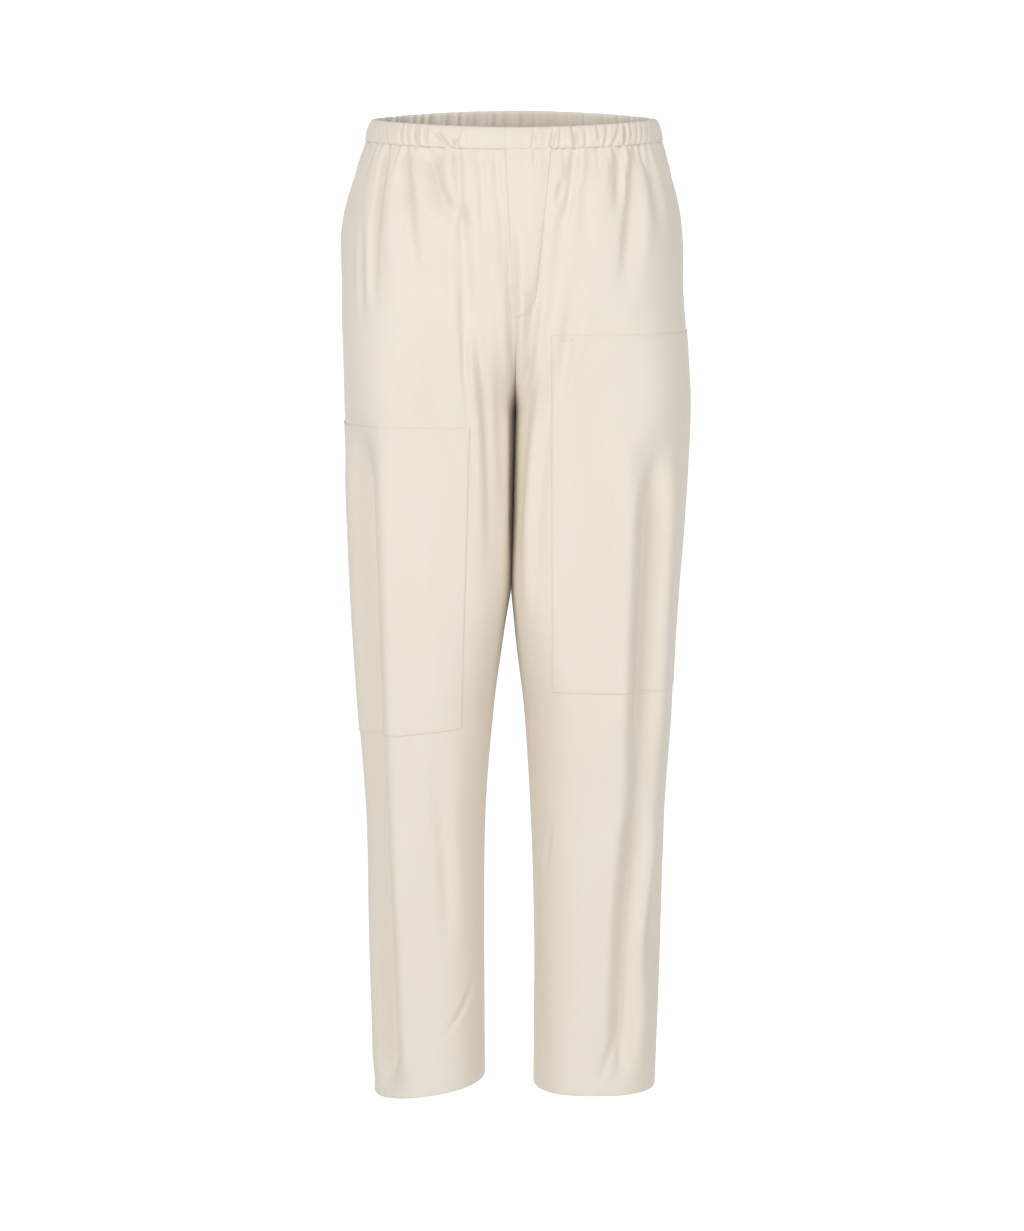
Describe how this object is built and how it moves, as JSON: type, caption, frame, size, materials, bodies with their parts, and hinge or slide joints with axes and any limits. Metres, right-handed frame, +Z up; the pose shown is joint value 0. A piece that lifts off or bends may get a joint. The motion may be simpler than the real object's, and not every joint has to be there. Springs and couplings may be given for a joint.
{
  "type": "lounge pants",
  "caption": "Straight-leg lounge pants, worn shape: gathered elastic waistband, mock fly, slanted side pockets, a long patch over each knee and plain turned hems.",
  "frame": {"origin": "centre of the waist opening, at the middle of the waistband's height at the sides, where the wearer holds the garment", "axes": "+Z up, out of the waist opening; the front faces -Y; the wearer's left leg is on +X"},
  "size_m": [0.3586, 0.2577, 1.0135],
  "materials": {
    "cloth": "soft ivory viscose twill with a faint sheen"
  },
  "bodies": {
    "root": {"waistband": "cloth", "front_right": "cloth", "front_left": "cloth", "back_right": "cloth", "back_left": "cloth", "mock_fly": "cloth", "pocket_facing_right": "cloth", "pocket_facing_left": "cloth", "knee_patch_right": "cloth", "knee_patch_left": "cloth", "hem_right": "cloth", "hem_left": "cloth"}
  },
  "joints": []
}
